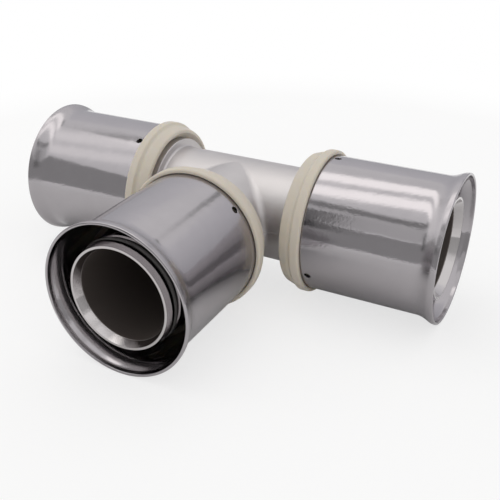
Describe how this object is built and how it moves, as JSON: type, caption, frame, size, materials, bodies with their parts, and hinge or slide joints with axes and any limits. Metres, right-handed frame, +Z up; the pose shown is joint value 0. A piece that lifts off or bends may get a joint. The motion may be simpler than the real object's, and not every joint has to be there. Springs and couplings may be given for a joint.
{
  "type": "press tee fitting",
  "caption": "Equal press tee for multilayer pipe: toothed spigots with O-rings in flared stainless press sleeves, held by ivory snap rings on a tinned brass body.",
  "frame": {"origin": "the point where the axes of the run and the branch cross", "axes": "the run lies along X, the branch points along -Y, +Z is up as the tee lies on its three sleeves"},
  "size_m": [0.1782, 0.1176, 0.057],
  "materials": {
    "tinned_brass": "satin, tinned",
    "stainless_steel": "drawn and polished",
    "ivory_plastic": "smooth, moulded",
    "black_rubber": "matte"
  },
  "bodies": {
    "root": {"tee_body": "tinned_brass", "press_sleeve_left": "stainless_steel", "retaining_ring_left": "ivory_plastic", "tip_o_ring_left": "black_rubber", "inner_o_ring_left": "black_rubber", "press_sleeve_right": "stainless_steel", "retaining_ring_right": "ivory_plastic", "tip_o_ring_right": "black_rubber", "inner_o_ring_right": "black_rubber", "press_sleeve_branch": "stainless_steel", "retaining_ring_branch": "ivory_plastic", "tip_o_ring_branch": "black_rubber", "inner_o_ring_branch": "black_rubber"}
  },
  "joints": []
}
